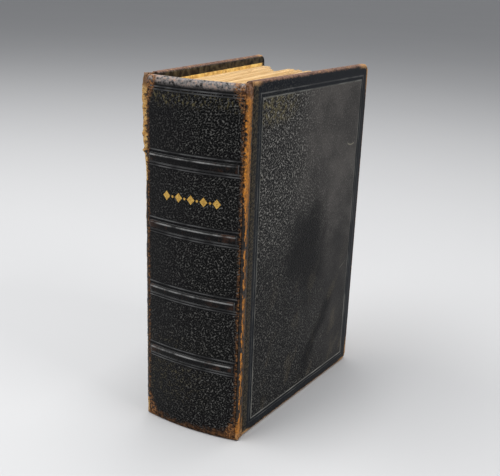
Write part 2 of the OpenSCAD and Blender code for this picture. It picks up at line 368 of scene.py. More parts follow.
def cover_material(name, side):
    """Black morocco of a cover: grained panel, smooth blind-tooled border and rubbed edges."""
    g = Graph(name)
    at, u, v, depth = g.at()
    # the patch, the streak and the scratch are on the front cover only
    marks = 1.0 if side == "front" else 0.0
    if side == "back":
        at = g.node("ShaderNodeMapping", Vector=at, Location=(230.0, 170.0, 0.0)).outputs[0]
    inner, off_in = g.frame_line(u, v, FRAME_IN, LINE_HALF_IN)
    outer, _ = g.frame_line(u, v, FRAME_OUT, LINE_HALF_OUT)
    outside = g.step(depth, 0.75, 0.3)
    panel = g.mul(g.step(off_in, 0.1, -0.2), outside)
    border = g.mul(g.step(off_in, -0.1, 0.2), outside)
    hinge_strip = g.mul(g.step(u, HINGE_STRIP[1], HINGE_STRIP[0]), outside)
    grain = morocco(g, at, 0.58)
    # the grain is rubbed nearly smooth towards the fore-edge and the top
    rubbed = g.step(g.add(u, g.mul(v, 0.2), g.mul(g.noise(at, 0.05, 3.0), 40.0)), 60.0, 100.0)
    cloud = g.noise(at, 0.06, 5.0, 0.62)
    mottled = g.noise(at, 0.35, 4.0, 0.65)
    # light flecks on the grain ridges: partly dust and wear, partly painted glints of light
    specks = g.mul(g.spots(at, 1.5, 0.40, 0.60, 2.0), g.step(mottled, 0.30, 0.60))
    ridges = g.mix(specks, (0.050, 0.048, 0.046), (0.290, 0.282, 0.258))
    grained_colour = g.mix(grain, (0.006, 0.006, 0.0065), ridges)
    bare = g.mix(g.step(cloud, 0.36, 0.64), (0.044, 0.041, 0.039), (0.078, 0.072, 0.067))
    colour = g.mix(g.mul(rubbed, 0.85), grained_colour, bare)
    lower = g.step(g.ragged(v, 50.0, at, 0.06, 3.0), 84.0, 56.0)
    colour = g.mix(g.mul(lower, 0.56), colour, BLACK)
    # a dark patch in the middle, and a dark streak leaning up to it
    patch = g.step(g.ragged(g.near(u, v, PATCH_AT, PATCH_HALF), 2.0, at, 0.09, 5.0, 0.6), 1.45, 0.35)
    du, dv = g.add(u, -STREAK_AT[0]), g.add(v, -STREAK_AT[1])
    sin, cos = math.sin(STREAK_LEAN), math.cos(STREAK_LEAN)
    along = g.add(g.mul(du, sin), g.mul(dv, cos))
    across = g.ragged(g.add(g.mul(du, cos), g.mul(dv, -sin)), 7.0, at, 0.12, 4.0)
    streak = g.mul(g.within(across, 4.2, 1.2), g.within(along, 25.0, 12.0))
    dark = g.most(g.mul(patch, 0.9 * marks), g.mul(streak, 0.85 * marks))
    colour = g.mix(g.mul(dark, panel), colour, BLACK)
    smeared = g.noise(g.drawn_out(at, 2.4, 0.6), 0.11, 4.0, 0.6)
    smears = g.mul(g.step(v, 70.0, 30.0), g.step(smeared, 0.52, 0.66), g.add(0.25, g.mul(grain, 0.5)), 0.7)
    colour = g.mix(smears, colour, (0.105, 0.088, 0.062))
    dusty = g.mul(g.step(g.near(u, v, DUSTY_AT, DUSTY_HALF), 1.25, 0.35), g.spots(at, 0.5, 0.42, 0.60))
    colour = g.mix(g.mul(dusty, g.add(0.35, g.mul(grain, 0.45))), colour, (0.16, 0.135, 0.065))
    # one curved scratch near the fore-edge and a few faint long ones
    du = g.add(u, -SCRATCH_AT[0])
    bow = g.mul(du, du, SCRATCH_BOW)
    cut = g.within(g.math("SUBTRACT", v, bow, SCRATCH_AT[1]), 0.42, 0.12)
    cut = g.mul(cut, g.span(u, *SCRATCH_SPAN, 0.5), 0.8 * marks)
    scratch = g.step(g.noise(g.drawn_out(at, 18.0, 1.1), 0.9, 3.0), 0.69, 0.73)
    scratch = g.mul(scratch, g.step(cloud, 0.5, 0.6), panel, 0.5)
    colour = g.mix(g.most(cut, scratch), colour, (0.20, 0.19, 0.15))
    colour = g.mix(g.mul(border, g.add(0.72, g.mul(cloud, 0.3))), colour, BLUE_BLACK)
    dull = g.mix(g.spots(at, 1.1, 0.42, 0.62), (0.014, 0.012, 0.010), (0.060, 0.048, 0.030))
    colour = g.mix(hinge_strip, colour, dull)
    # the two tooled lines are painted light grey as a patchy painted sheen, the inner one brighter low on
    # the cover
    painted_line_sheen = g.add(0.35, g.mul(g.step(g.noise(at, 0.09, 3.0), 0.4, 0.62), 0.65))
    low_line = g.mul(g.step(v, 52.0, 20.0), 0.6)
    colour = g.mix(g.mul(inner, outside, g.most(painted_line_sheen, low_line)), colour,
                   g.mix(low_line, (0.17, 0.17, 0.155), (0.42, 0.41, 0.37)))
    colour = g.mix(g.mul(outer, outside, painted_line_sheen, 0.75), colour, (0.13, 0.13, 0.125))
    # worn edges: head, tail, fore-edge and the two corners
    edge_v = g.math("MINIMUM", v, g.math("SUBTRACT", BOOK_H, v))
    edge = g.math("MINIMUM", edge_v, g.math("SUBTRACT", COVER_W, u))
    corner = g.mul(g.step(edge_v, 14.0, 3.0), g.step(u, COVER_W - 9, COVER_W - 2.5))
    spine_corner = g.mul(g.step(edge_v, 6.0, 2.0), g.step(u, 10.0, 5.5))
    ragged = g.ragged(edge, 2.0, at, 1.0, 5.0, 0.7)
    worn = g.mul(g.step(ragged, 1.25, 0.55), g.step(depth, 3.0, 2.6))
    worn = g.mul(worn, g.most(g.step(g.noise(at, 0.11, 3.0), 0.36, 0.5), g.step(edge_v, 2.0, 1.0)))
    worn_more = g.mul(g.step(ragged, 2.1, 0.9), g.mul(g.most(corner, spine_corner), outside))
    rubbed_edge = g.mix(g.step(g.noise(at, 0.8, 4.0, 0.7), 0.36, 0.62), (0.085, 0.050, 0.036), PINK_BROWN)
    tanned = g.most(g.mul(g.step(v, 4.0, 2.0), 0.75), corner, g.mul(g.spots(at, 0.6, 0.56, 0.68), 0.7))
    rubbed_edge = g.mix(g.mul(tanned, 0.85), rubbed_edge, g.mix(g.noise(at, 1.5, 3.0), TAN, PALE_TAN))
    colour = g.mix(worn, colour, rubbed_edge)
    colour = g.mix(worn_more, colour, g.mix(g.noise(at, 1.4, 3.0), TAN, PALE_TAN))
    inside = g.step(depth, 2.85, 2.98)
    # the turn-in inside: dark with dusty spots, lightened grey-olive as a painted reflection
    turn_in_dust_and_reflection = g.mix(g.spots(at, 0.35, 0.36, 0.66), (0.010, 0.008, 0.006), (0.075, 0.060, 0.036))
    colour = g.mix(inside, colour, turn_in_dust_and_reflection)
    gloss = g.mix(border, (0.42,) * 3, (0.30,) * 3)
    gloss = g.mix(g.most(worn, worn_more), gloss, (0.75,) * 3)
    gloss = g.mix(g.mul(cloud, 0.7), gloss, (0.55,) * 3)
    g.set(Base_Color=colour, Roughness=gloss, Specular_IOR_Level=0.07)
    grained = g.mul(g.most(panel, g.mul(hinge_strip, 0.6)), g.inv(g.mul(rubbed, 0.8)))
    height = g.add(g.mul(grain, grained), g.mul(mottled, 0.25))
    height = g.add(height, g.mul(g.most(worn, worn_more), g.noise(at, 2.5, 4.0, 0.7)))
    g.relief(height, 0.14)
    return g.material


def spine_material():
    """Black morocco of the spine: grained compartments, smooth glossy bands, rubbed head and tail."""
    g = Graph("black_morocco_spine")
    at, x, z, lift = g.at()
    # lift, which the mesh sets, is 0.6 where the grain is pressed smooth, 0.9 in a fillet, 1.2 on a band
    pressed = g.step(lift, 0.02, 0.25)
    fillet = g.span(lift, 0.78, 1.0, 0.06)
    on_band = g.step(lift, 1.04, 1.15)
    grain = morocco(g, at, 0.56)
    mottled = g.noise(at, 0.4, 4.0, 0.65)
    # towards the right of the spine the grain is deeper, its flecks painted brighter as glints of light
    # where it is lit and its pits darker; the flecks are partly dust and wear
    deep = g.step(g.ragged(x, 14.0, at, 0.1), -19.0, 9.0)
    specks = g.mul(g.spots(at, 1.5, 0.42, 0.60, 2.0), g.step(mottled, 0.30, 0.60))
    ridges = g.mix(g.mul(specks, g.add(0.25, g.mul(deep, 0.75))), (0.014,) * 3, (0.130, 0.127, 0.119))
    pit = g.mix(deep, (0.006, 0.006, 0.0065), (0.0015, 0.0015, 0.0018))
    colour = g.mix(grain, pit, ridges)
    flecks = g.spots(g.scaled(at, (1.0, 0.5, 0.0)), 1.1, 0.52, 0.64, 4.0)
    dusty = g.mul(g.span(g.add(z, g.mul(g.noise(at, 0.2, 2.0), 5.0)), 124.5, 128.6, 1.6), flecks)
    low = g.mul(g.span(z, 12.0, 34.0, 8.0), g.step(x, 14.0, -6.0), grain, g.spots(at, 0.5, 0.44, 0.62))
    colour = g.mix(g.mul(dusty, 0.75), colour, DUST)
    colour = g.mix(g.mul(low, 0.4), colour, DUST)
    colour = g.mix(g.mul(pressed, 0.88), colour, (0.004, 0.004, 0.0045))
    ends = g.step(g.math("ABSOLUTE", g.add(x, 3.0)), 8.0, 15.0)
    ticks = g.spots(g.scaled(at, (1.3, 0.25, 0.0)), 1.0, 0.62, 0.70)
    scuffs = g.mul(on_band, g.most(g.mul(ends, g.spots(at, 0.28, 0.45, 0.6)), ticks))
    colour = g.mix(g.mul(scuffs, 0.6), colour, (0.050, 0.024, 0.015))
    # the fillet lines are painted light grey as a patchy painted sheen on the pressed lines
    painted_line_sheen = g.add(0.3, g.mul(g.step(g.noise(at, 0.12, 3.0), 0.4, 0.62), 0.7))
    colour = g.mix(g.mul(fillet, painted_line_sheen, 0.7), colour, (0.14, 0.14, 0.14))
    # the upper edge of each band is painted bright: a painted highlight where its crest catches the light
    down = g.math("MODULO", g.math("SUBTRACT", BAND_TOP + 9 * BAND_PITCH, z), BAND_PITCH)
    painted_crest_highlight = g.mul(g.span(down, 0.35, 0.70, 0.22), on_band)
    painted_crest_highlight = g.mul(painted_crest_highlight, g.step(g.noise(at, 0.16, 4.0, 0.6), 0.30, 0.62))
    painted_crest_highlight = g.mul(painted_crest_highlight, g.within(x, BAND_ENDS - 0.3, BAND_ENDS - 1.9))
    colour = g.mix(g.mul(painted_crest_highlight, 0.85), colour, (0.27, 0.27, 0.265))
    # head cap: rubbed grey lightened as a painted sheen, and pinkish brown wear; tail and outer edges:
    # brown
    head = g.mul(g.step(z, 127.6, 129.6), g.spots(at, 0.9, 0.30, 0.60))
    colour = g.mix(g.mul(head, 0.9), colour, (0.27, 0.25, 0.24))
    pink = g.mul(g.step(z, 127.8, 129.9), g.spots(at, 0.9, 0.52, 0.64))
    colour = g.mix(g.mul(pink, 0.7), colour, (0.38, 0.23, 0.16))
    tail = g.add(g.ragged(z, 9.0, at, 0.22, 4.0, 0.65), g.mul(g.step(x, 8.0, 18.0), -2.5))
    tail = g.step(tail, 3.6, 0.6)
    rubbed = g.mix(g.spots(at, 0.5, 0.42, 0.62), (0.028, 0.014, 0.008), (0.14, 0.066, 0.028))
    colour = g.mix(tail, colour, rubbed)
    side = g.ragged(g.math("ABSOLUTE", x), 1.4, at, 0.7, 4.0, 0.7)
    edge = g.step(side, 18.95, 19.35)
    near = g.add(side, g.mul(g.step(g.math("ABSOLUTE", g.add(z, -MIDDLE_Z)), 54.0, 64.0), 3.4))
    corner = g.mul(g.step(near, 17.6, 19.4), g.spots(at, 0.85, 0.40, 0.54))
    colour = g.mix(g.mul(edge, 0.35), colour, g.mix(g.noise(at, 1.2), BROWN, TAN))
    colour = g.mix(g.mul(corner, 0.9), colour, g.mix(g.spots(at, 1.3, 0.42, 0.6), BROWN, TAN))
    gloss = g.mix(pressed, (0.40,) * 3, (0.24,) * 3)
    gloss = g.mix(g.most(tail, edge, g.mul(head, 0.5)), gloss, (0.6,) * 3)
    g.set(Base_Color=colour, Roughness=gloss, Specular_IOR_Level=0.07)
    height = g.mul(grain, g.inv(g.mul(pressed, 0.95)), g.add(0.35, g.mul(deep, 0.65)))
    height = g.add(height, g.mul(g.noise(at, 1.6, 4.0), 0.22, g.inv(g.mul(pressed, 0.6))))
    height = g.add(height, g.mul(g.most(tail, edge, corner), g.noise(at, 2.6, 4.0, 0.7)))
    g.relief(height, 0.15)
    return g.material


def joint_material(name, bright, mid, dull):
    """Leather worn through at a joint. The third part of at says how worn each point is."""
    g = Graph(name)
    at, y, z, worn = g.at()
    fibres = g.noise(g.scaled(at, (2.2, 0.45, 0)), 1.0, 5.0, 0.7)
    high = g.step(g.ragged(z, 26.0, at, 0.1, 3.0), 80.0, 98.0)
    patchy = g.step(g.noise(at, 0.3, 4.0, 0.65), 0.40, 0.58)
    colour = g.mix(g.step(fibres, 0.40, 0.62), mid, bright)
    colour = g.mix(g.mul(g.inv(high), 0.7), colour, g.mix(patchy, mid, bright))
    crumbs = g.spots(g.scaled(at, (1.0, 0.6, 0.0)), 1.9, 0.52, 0.62, 4.0)
    colour = g.mix(g.mul(crumbs, 0.6), colour, dull)
    colour = g.mix(g.mul(g.step(g.noise(at, 0.9, 4.0, 0.7), 0.55, 0.7), 0.6), colour, PALE_TAN)
    dusty = g.step(g.add(y, g.mul(g.noise(at, 0.5, 3.0), 1.2)), 2.3, 3.0)
    dusty = g.mul(dusty, g.inv(g.mul(high, 0.3)))
    colour = g.mix(g.mul(dusty, 0.8), colour, dull)
    cracks = g.step(g.noise(g.scaled(at, (2.0, 0.5, 0)), 1.3, 5.0, 0.75), 0.47, 0.41)
    colour = g.mix(g.mul(cracks, 0.85), colour, (0.022, 0.010, 0.005))
    crown = g.mul(g.step(g.add(z, g.mul(g.noise(at, 0.4, 3.0), 5.0)), 126.0, 130.5), 0.8)
    colour = g.mix(crown, colour, g.mix(g.spots(at, 0.9, 0.45, 0.6), BROWN, PINK_BROWN))
    foot = g.step(g.add(z, g.mul(g.noise(at, 0.9, 3.0), 7.0)), 8.5, 4.5)
    foot_tan = g.mix(g.noise(at, 0.8, 4.0), TAN, PALE_TAN)
    foot_colour = g.mix(g.spots(at, 1.4, 0.42, 0.58), BROWN, foot_tan)
    colour = g.mix(g.mul(foot, 0.8), colour, foot_colour)
    shown = g.step(g.ragged(worn, 0.9, at, 1.8, 3.0, 0.7), 0.32, 0.5)
    skin = g.mix(g.spots(at, 0.9, 0.5, 0.65), (0.009, 0.007, 0.006), (0.06, 0.035, 0.018))
    colour = g.mix(shown, skin, colour)
    g.set(Base_Color=colour, Specular_IOR_Level=0.3)
    g.set(Roughness=g.mix(shown, (0.4,) * 3, (0.8,) * 3))
    g.relief(g.add(fibres, g.mul(g.noise(at, 3.0, 4.0), 0.6)), 0.25)
    return g.material


def leaf_material():
    """Edges of thin leaves: fine lines along each leaf, toned cream to tan."""
    g = Graph("leaf_paper_edges")
    at, _, along, z = g.at()
    leaves = g.noise(g.scaled(at, (5.5, 0.02, 0.02)), 1.0, 3.0, 0.7)
    toned = g.noise(g.scaled(at, (1.1, 0.008, 0.01)), 1.0, 2.0, 0.6)
    colour = g.mix(g.step(leaves, 0.3, 0.7), (0.52, 0.33, 0.14), (0.88, 0.68, 0.40))
    colour = g.mix(g.mul(g.step(toned, 0.45, 0.7), 0.45), colour, (0.60, 0.40, 0.17))
    stain = g.spots(at, 0.09, 0.55, 0.72)
    colour = g.mix(g.mul(stain, 0.35), colour, (0.50, 0.30, 0.11))
    near_edge = g.most(g.step(z, 3.0, 1.0), g.step(along, 70.0, 80.0))
    colour = g.mix(g.mul(near_edge, 0.25), colour, (0.55, 0.36, 0.17))
    g.set(Base_Color=colour, Roughness=0.85, Specular_IOR_Level=0.2)
    g.relief(g.add(leaves, g.mul(g.noise(at, 1.5, 3.0), 0.3)), 0.09)
    return g.material


def endpaper_material():
    """Yellow-glazed endpaper, streaked up and down and foxed along its edges."""
    g = Graph("yellow_endpaper")
    at, u, v, _ = g.at()
    streaks = g.noise(g.scaled(at, (1.0, 0.05, 1.0)), 0.9, 5.0, 0.65)
    cloud = g.noise(at, 0.08, 4.0, 0.6)
    colour = g.mix(g.step(streaks, 0.3, 0.7), (0.78, 0.44, 0.07), (0.92, 0.66, 0.22))
    colour = g.mix(g.mul(g.step(cloud, 0.5, 0.75), 0.5), colour, (0.60, 0.33, 0.08))
    edge = g.math("MINIMUM", v, g.math("SUBTRACT", BOOK_H, v))
    edge = g.math("MINIMUM", edge, g.math("SUBTRACT", COVER_W, u))
    browned = g.mul(g.step(edge, 9.0, 3.0), g.spots(at, 0.4, 0.4, 0.65))
    colour = g.mix(browned, colour, (0.50, 0.26, 0.06))
    foxing = g.step(g.cells(at, 0.16), 0.16, 0.05)
    colour = g.mix(g.mul(foxing, 0.5), colour, (0.30, 0.13, 0.03))
    g.set(Base_Color=colour, Roughness=g.mix(streaks, (0.45,) * 3, (0.7,) * 3))
    g.set(Specular_IOR_Level=0.35)
    g.relief(g.add(g.mul(streaks, 0.7), g.noise(at, 1.2, 4.0)), 0.05)
    return g.material


def plain_material(name, dark, light, scale, roughness=0.8, depth=0.08, metal=0.0):
    """A fibrous or cloth-like material for a CAD node, laid out in the row frame."""
    g = Graph(name)
    at = g.row_mm()
    fibre = g.noise(at, scale, 5.0, 0.7)
    blotch = g.noise(at, 0.15, 3.0)
    colour = g.mix(g.step(fibre, 0.3, 0.7), dark, light)
    colour = g.mix(g.mul(g.step(blotch, 0.45, 0.75), 0.35), colour, dark)
    g.set(Base_Color=colour, Metallic=metal, Specular_IOR_Level=0.3)
    g.set(Roughness=g.mix(fibre, (roughness - 0.1,) * 3, (min(1.0, roughness + 0.1),) * 3))
    g.relief(fibre, depth)
    return g.material


def woven_material(name, dark, light, pitch):
    """Plain-woven linen: two crossed sets of threads."""
    g = Graph(name)
    at = g.row_mm()
    x, _, z = g.parts(at)
    per = 2 * math.pi / pitch
    warp = g.math("SINE", g.mul(x, per))
    weft = g.math("SINE", g.mul(z, per))
    weave = g.add(0.5, g.mul(warp, weft, 0.5))
    colour = g.mix(g.add(g.mul(weave, 0.7), g.mul(g.noise(at, 0.9, 3.0), 0.3)), dark, light)
    g.set(Base_Color=colour, Roughness=g.mix(weave, (0.95,) * 3, (0.8,) * 3), Specular_IOR_Level=0.2)
    g.relief(weave, 0.08)
    return g.material


def cord_material():
    """Hemp plies with fine slanting fibres."""
    g = Graph("hemp_cord")
    _, x, around, _ = g.at()
    slanted = g.add(g.mul(x, 1.2), around)
    slanted = g.node("ShaderNodeCombineXYZ", X=g.mul(slanted, 3.0), Y=g.mul(x, 0.4)).outputs[0]
    fibre = g.noise(slanted, 2.0, 4.0, 0.7)
    colour = g.mix(g.step(fibre, 0.3, 0.7), (0.25, 0.17, 0.08), (0.52, 0.40, 0.24))
    g.set(Base_Color=colour, Roughness=0.9, Specular_IOR_Level=0.2)
    g.relief(fibre, 0.05)
    return g.material


def endband_material():
    """Silk wound round a core in two colours; at's first part counts the turns of thread."""
    g = Graph("endband_silk")
    at, turn, _, _ = g.at()
    dark = g.step(g.math("SINE", g.mul(turn, math.pi / 2)), -0.15, 0.15)
    colour = g.mix(dark, (0.42, 0.33, 0.20), (0.17, 0.07, 0.05))
    colour = g.mix(g.mul(g.noise(at, 1.1, 3.0), 0.5), colour, (0.30, 0.24, 0.16))
    g.set(Base_Color=colour, Roughness=g.mix(dark, (0.6,) * 3, (0.5,) * 3), Specular_IOR_Level=0.4)
    g.relief(g.noise(g.scaled(at, (3, 0.4, 1)), 1.6, 3.0), 0.05)
    return g.material


# --- covers
def cover_points(side, u, v, depth):
    """A cover's points at u from the spine, v up and depth below its outer face."""
    x, y = on_side(side, HALF_T - depth, u, HINGE, FRONT_OPEN)
    return np.stack(np.broadcast_arrays(x, y, v), -1)


def rounded_corners(u, v, inset):
    """Squeezes the two fore-edge corners of a flat grid onto arcs, keeping its rows and columns."""
    u, v = u.copy(), v.copy()
    r = CORNER_R - inset
    for top in (False, True):
        cv = BOOK_H - CORNER_R if top else CORNER_R
        a = (u - (COVER_W - CORNER_R)) / r
        b = (v - cv) / r if top else (cv - v) / r
        corner = (a > 0) & (b > 0)
        m, n = np.maximum(a, b)[corner], np.minimum(a, b)[corner]
        part = np.pi / 4 * n / np.maximum(m, 1e-9)
        angle = np.where(a[corner] >= b[corner], part, np.pi / 2 - part)
        u[corner] = COVER_W - CORNER_R + r * m * np.cos(angle)
        v[corner] = cv + (1 if top else -1) * r * m * np.sin(angle)
    return u, v


def rect_distance(u, v, rect):
    """Distance outside a rectangle, negative inside it."""
    du = np.abs(u - (rect[0] + rect[1]) / 2) - (rect[1] - rect[0]) / 2
    dv = np.abs(v - (rect[2] + rect[3]) / 2) - (rect[3] - rect[2]) / 2
    return np.maximum(du, dv)


def face_relief(u, v, seed):
    """How far the outer face of a cover lies below its plane: fillets, rubbed edges and waves."""
    d_in, d_out = rect_distance(u, v, FRAME_IN), rect_distance(u, v, FRAME_OUT)
    depth = 0.24 * bump(d_in, LINE_HALF_IN) + 0.17 * bump(d_out, LINE_HALF_OUT)
    depth += 0.05 * smooth(d_in, 0, 1.5) + 0.05 * (rough(u, v, 22, seed) + 1)
    edge = np.minimum(np.minimum(v, BOOK_H - v), COVER_W - u)
    depth += 0.12 * (1 - smooth(edge, 1.0, 3.2)) * (1 + 0.5 * rough(u, v, 3, seed + 3))
    panel = smooth(-d_in, 0.3, 1.5)
    return depth + 0.02 * panel * rough(u, v, 2.6, seed + 7)


# Round a cover's edge and along its turn-in: depth below the outer face, and inset from the edge
EDGE_SECTION = ((0.14, .72), (0.36, .36), (.66, .12), (1.05, .02), (1.55, 0), (2.05, .03), (2.45, .2),
                (2.78, .46), (2.97, .8), (3.0, 1.3), (3.0, 2.4), (3.01, 3.6), (3.0, 6), (3.0, 9),
                (2.98, TURN_IN - .5), (2.9, TURN_IN - .1), (2.7, TURN_IN))


def cover_leather(side, material, seed):
    """Outer leather of a cover: its face, its rounded edges and the turn-ins on the inside."""
    inset = step = 1.1
    u, v = np.meshgrid(lines(JOINT_W, COVER_W - inset, step, FRAME_IN[:2] + FRAME_OUT[:2]),
                       lines(inset, BOOK_H - inset, step, FRAME_IN[2:] + FRAME_OUT[2:]))
    torn = 0.45 * rough(v[:, 0], 0, 2.2, seed) + 0.3 * rough(v[:, 0], 0, .8, seed + 1)
    u[:, 0] = JOINT_W - 0.25 + torn
    u, v = rounded_corners(u, v, inset)
    depth = face_relief(u, v, seed)
    rows, cols = u.shape
    faces = quads(rows, cols)
    loop = ([(0, j) for j in range(cols)] + [(i, cols - 1) for i in range(1, rows)]
            + [(rows - 1, j) for j in range(cols - 2, -1, -1)])
    bu, bv = (np.array([m[i] for i in loop]) for m in (u, v))
    anchor_u = np.minimum(bu, COVER_W - CORNER_R)
    anchor_v = np.clip(bv, CORNER_R, BOOK_H - CORNER_R)
    nu, nv = bu - anchor_u, bv - anchor_v
    length = np.hypot(nu, nv)
    nu, nv = nu / length, nv / length
    rings = [(u.ravel(), v.ravel(), depth.ravel())]
    before = np.array([i * cols + j for i, j in loop])
    total = rows * cols
    for d, ring in EDGE_SECTION:
        chafed = 0.07 * (1 + rough(bu + bv, bu - bv, 1.7, seed + d)) * (1 if ring < 1 else 0.3)
        if ring < CORNER_R:
            out = CORNER_R - ring - chafed
            ru, rv = anchor_u + nu * out, anchor_v + nv * out
        else:  # past the rounded corner the turn-in is a plain rectangle
            rv = np.where(np.abs(nu) > 0.999, bv, anchor_v + nv * 99)
            rv = np.clip(rv, ring, BOOK_H - ring)
            ru = np.where(np.abs(nv) > 0.999, np.minimum(bu, COVER_W - ring), COVER_W - ring)
        rings.append((ru, rv, np.full(len(loop), d)))
        here = total + np.arange(len(loop))
        faces += [(before[k], here[k], here[k + 1], before[k + 1]) for k in range(len(loop) - 1)]
        before, total = here, total + len(loop)
    u, v, depth = (np.concatenate(x) for x in zip(*rings))
    obj = make(f"{side}_cover_skin", cover_points(side, u, v, depth), faces,
               np.stack([u, v, depth], -1), material, side == "back", 0.55)
    stands_for(obj, f"{side}_cover", "black_leather", f"{side}_cover_leather")


def pastedown(side, material, seed):
    """Endpaper pasted over the board and the turn-ins, whose edge shows through it as a step."""
    u, v = np.meshgrid(lines(JOINT_W + 0.3, COVER_W - TURN_IN_BARE, 1.6, (COVER_W - TURN_IN,)),
                       lines(TURN_IN_BARE, BOOK_H - TURN_IN_BARE, 1.6, (TURN_IN, BOOK_H - TURN_IN)))
    inset = np.minimum(np.minimum(v, BOOK_H - v), COVER_W - u)
    depth = 3.19 - 0.1 * smooth(inset, TURN_IN - 0.3, TURN_IN + 0.3)
    depth += 0.02 * rough(u, v, 6, seed) - 0.05 * (1 - smooth(inset, TURN_IN_BARE, TURN_IN_BARE + 0.6))
    obj = make(f"{side}_pastedown_paper", cover_points(side, u, v, depth), quads(*u.shape),
               np.stack([u, v, depth], -1), material, side == "front", 0.2)
    stands_for(obj, f"{side}_cover", "endpaper", f"{side}_pastedown")


def flyleaf(side, material, seed):
    """Free endpaper, gently cockled, on its own hinge beside the text block."""
    y, z = np.meshgrid(lines(FLY_HINGE[1], FORE_EDGE - 0.5, 2.2), lines(2.5, LEAF_Z + LEAF_H, 3.0))
    wave = 0.09 * rough(y, z, 26, seed) * smooth(y, 4, 30)
    # it hollows a little beside the hinge, clear of the joint's leather
    x = FLY_HINGE[0] + 0.1 + wave - 0.18 * bump(y - 4.2, 4.0)
    y = y - 0.4 * (rough(z, 0, 9, seed) + 1) * smooth(y, FORE_EDGE - 12, FORE_EDGE)
    at = np.stack([y, z, 0 * y], -1)
    x, y = on_side(side, x, y, FLY_HINGE, FRONT_OPEN * FLY_RATIO)
    obj = make(f"{side}_free_endpaper", np.stack([x, y, z], -1), quads(*x.shape), at, material,
               side == "back", 0.1)
    stands_for(obj, f"{side}_flyleaf", "endpaper", f"{side}_flyleaf")


# --- spine
def spine_lift(x, z):
    """Height of the spine over its round, and how it is pressed: 0.6 smooth, 0.9 fillet, 1.2 band."""
    rise, pressed = np.zeros_like(x), np.zeros_like(x)
    wide = BAND_ENDS + 0.25 * rough(z, 0, 3, 2)
    ends = 1 - smooth(np.abs(x), wide - 1.5, wide)
    fillet_ends = 1 - smooth(np.abs(x), wide - 0.3, wide + 0.1)
    fillets = []
    for i in range(BANDS):
        top = BAND_TOP - i * BAND_PITCH
        down = (top - z) / BAND_H
        crown = smooth(down, -0.04, 0.20) * (1 - smooth(down, 0.74, 1.04))
        rise += (BAND_RISE - 0.03) * ends * crown * (1 - 0.22 * smooth(down, .18, .8))
        near = smooth(z, top - BAND_H - 2.0, top - BAND_H - 1.6) * (1 - smooth(z, top + 1.4, top + 1.8))
        pressed = np.maximum(pressed, 0.6 * near * fillet_ends)
        on = smooth(down, -0.05, 0.0) * (1 - smooth(down, 1.0, 1.05)) * ends
        pressed = np.maximum(pressed, 1.2 * on)
        fillets += [(top + up, .13) for up in BAND_LINES]
    pressed = np.maximum(pressed, 0.5 * smooth(z, 126.4, 127.2))
    for line, deep in [*fillets, *zip(HEAD_LINES, (.12, .10))]:
        cut = bump(z - line, 0.42) * fillet_ends
        rise -= deep * cut
        pressed = np.where(cut > 0.3, 0.9, pressed)
    rise += 0.16 * bump(z - 128.7, 1.5)
    return rise + 0.05 * rough(x, z, 9, 5), pressed


def spine_place(x, r, z):
    """A point x across the spine at radius r and height z."""
    angle = np.asarray(x) / SPINE_R
    return np.stack(np.broadcast_arrays(r * np.sin(angle), SPINE_AXIS - r * np.cos(angle), z), -1)


def cap_rows(angles, cap_z):
    """Rows of the spine's section round a rolled cap, as spine_leather lists them."""
    for a in map(math.radians, angles):
        yield (CAP_AT + CAP_R * math.cos(a), max(0.0, cap_z + CAP_R * math.sin(a)), 0,
               CAP_AT + CAP_CORE_R * math.cos(a), cap_z + CAP_CORE_R * math.sin(a), cap_z + CAP_R * a)


def spine_leather(material):
    """The whole spine covering: wall, raised bands and rolled caps, as one closed skin."""
    by_ends = BAND_ENDS + np.array([-1.2, -0.7, -0.3, 0.1, 0.4])
    xs = np.concatenate([np.linspace(-SPINE_HALF, SPINE_HALF, 49), -by_ends, by_ends])
    xs = np.array(sorted(set(np.round(xs, 3))))
    marks = list(HEAD_LINES)
    for i in range(BANDS):
        marks += [BAND_TOP - i * BAND_PITCH + up for up in (*BAND_LINES, 0.1, -0.5, 0.5 - BAND_H)]
    zs = lines(TAIL_CAP_Z + 0.6, HEAD_CAP_Z - 0.4, 0.8, marks)
    # rows from the tail's turn-in to the head's: outer radius and z, 1 on the face and 0 on a
    # cap, inner radius and z, and the length along the section
    chain = [*cap_rows(np.linspace(-240, 0, 15), TAIL_CAP_Z),
             *((SPINE_R, z, 1, SPINE_R - SPINE_WALL, z, z) for z in zs),
             *cap_rows(np.linspace(0, 240, 19), HEAD_CAP_Z)]
    r, z, face, inner_r, inner_z, length = (np.repeat(k[:, None], len(xs), 1) for k in np.array(chain).T)
    x = np.tile(xs, (len(chain), 1))
    ragged = 0.28 * rough(z, 0, 1.9, 11) + 0.15 * rough(z, 0, .7, 12)
    far = np.abs(x) > SPINE_HALF - 0.05
    x = np.where(far, x - np.sign(x) * (0.25 + ragged), x)
    rise, pressed = spine_lift(x, z)
    chafe = 0.10 * rough(x, z, 1.6, 21) * smooth(z, 127.5, 129)
    outer = spine_place(x, r + rise * face + chafe * (1 - face), z)
    inner = spine_place(x, inner_r + np.maximum(rise, 0) * 0.9 * face, inner_z)
    n, cols = x.shape
    points = np.concatenate([outer, inner[::-1]]).reshape(-1, 3)
    at = np.stack([x, length, pressed], -1)
    at = np.concatenate([at, at[::-1]]).reshape(-1, 3)
    faces = quads(2 * n, cols, wrap=True)
    for j in (0, cols - 1):
        for i in range(n - 1):
            a, b = i * cols + j, (i + 1) * cols + j
            c, d = (2 * n - 2 - i) * cols + j, (2 * n - 1 - i) * cols + j
            faces.append((a, b, c, d) if j == 0 else (d, c, b, a))
    obj = make("spine_skin", points, faces, at, material)
    stands_for(obj, "text_block", "black_leather", "spine_leather")


